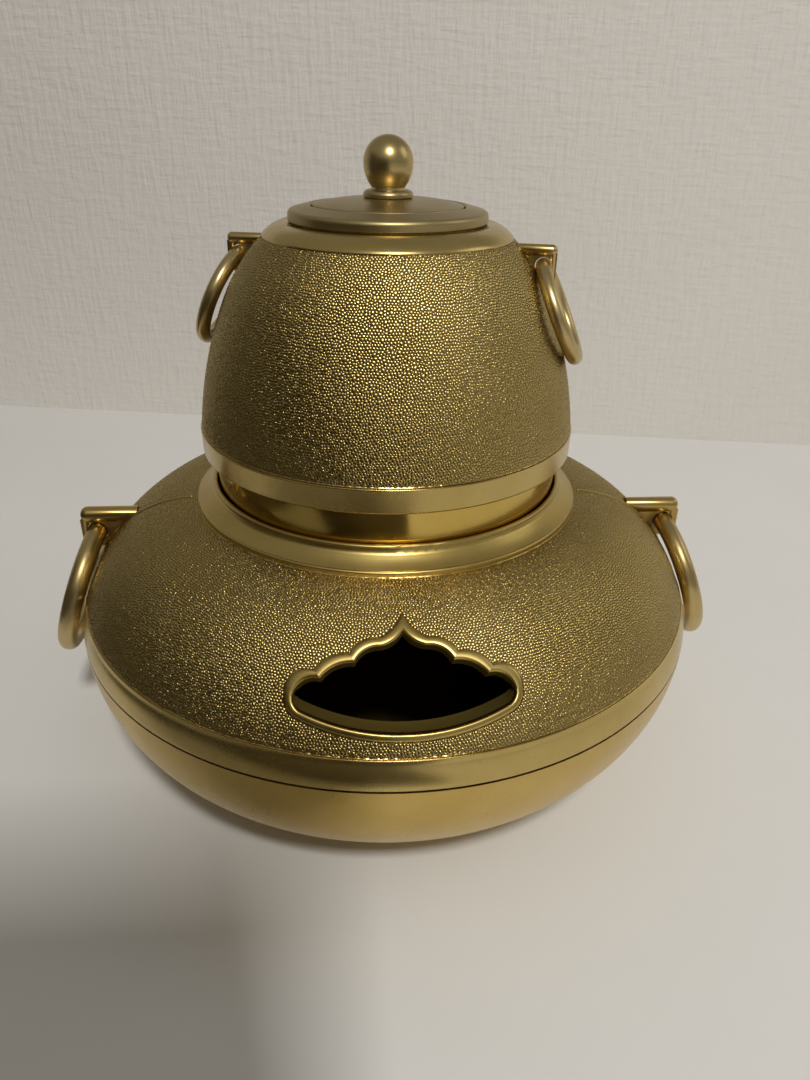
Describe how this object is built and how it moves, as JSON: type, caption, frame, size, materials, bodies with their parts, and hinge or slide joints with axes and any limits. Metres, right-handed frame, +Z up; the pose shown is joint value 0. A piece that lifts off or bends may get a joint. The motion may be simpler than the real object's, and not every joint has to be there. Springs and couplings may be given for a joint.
{
  "type": "tabletop tea brazier and kettle",
  "caption": "Low round brazier with a scalloped air window, a stippled kettle standing in its collar, a loose domed lid with a ball knob, and swinging carrying rings",
  "frame": {"origin": "centre of the foot's ring on the table", "axes": "+Z up, the air window faces -Y, the brazier's lugs lie on X"},
  "size_m": [0.1672, 0.15, 0.1423],
  "materials": {
    "smooth_gold": "satin gold plate, faint brushed grain",
    "stippled_gold": "fine raised grain, satin gold plate, smooth bands",
    "satin_gold": "satin gold plate",
    "lug_gold": "satin gold plate, browner in the corners",
    "ring_gold": "polished gold plate",
    "polished_gold": "mirror polished gold plate",
    "knob_gold": "polished darker gold",
    "screw_brass": "plain brass"
  },
  "bodies": {
    "base": {"lower_bowl": "smooth_gold"},
    "brazier": {"brazier_shell": "stippled_gold", "brazier_collar": "satin_gold", "window_frame": "satin_gold", "brazier_lug_left": "lug_gold", "brazier_lug_right": "lug_gold"},
    "kettle": {"kettle_shell": "stippled_gold", "kettle_pan": "polished_gold", "kettle_mouth_ring": "satin_gold", "kettle_lug_left": "lug_gold", "kettle_lug_right": "lug_gold"},
    "lid": {"lid_plate": "satin_gold", "knob_seat": "satin_gold", "knob": "knob_gold", "knob_screw": "screw_brass"},
    "brazier_ring_left": {"brazier_ring_left": "ring_gold"},
    "brazier_ring_right": {"brazier_ring_right": "ring_gold"},
    "kettle_ring_left": {"kettle_ring_left": "ring_gold"},
    "kettle_ring_right": {"kettle_ring_right": "ring_gold"}
  },
  "joints": [
    {"name": "brazier_lift", "type": "slide", "parent": "base", "child": "brazier", "axis": [0, 0, 1], "range_m": [0, 0.06]},
    {"name": "kettle_lift", "type": "slide", "parent": "brazier", "child": "kettle", "axis": [0, 0, 1], "range_m": [0, 0.05]},
    {"name": "lid_lift", "type": "slide", "parent": "kettle", "child": "lid", "axis": [0, 0, 1], "range_m": [0, 0.03]},
    {"name": "brazier_ring_right_swing", "type": "hinge", "parent": "brazier", "child": "brazier_ring_right", "pos_m": [0.0713, 0, 0.0538], "axis": [0, -1, 0], "range_deg": [0, 215]},
    {"name": "brazier_ring_left_swing", "type": "hinge", "parent": "brazier", "child": "brazier_ring_left", "pos_m": [-0.0713, 0, 0.0538], "axis": [0, 1, 0], "range_deg": [0, 215]},
    {"name": "kettle_ring_right_swing", "type": "hinge", "parent": "kettle", "child": "kettle_ring_right", "pos_m": [0.03235, -0.00789, 0.1181], "axis": [-0.2368, -0.9715, 0], "range_deg": [0, 190]},
    {"name": "kettle_ring_left_swing", "type": "hinge", "parent": "kettle", "child": "kettle_ring_left", "pos_m": [-0.03235, 0.00789, 0.1181], "axis": [0.2368, 0.9715, 0], "range_deg": [0, 190]}
  ]
}
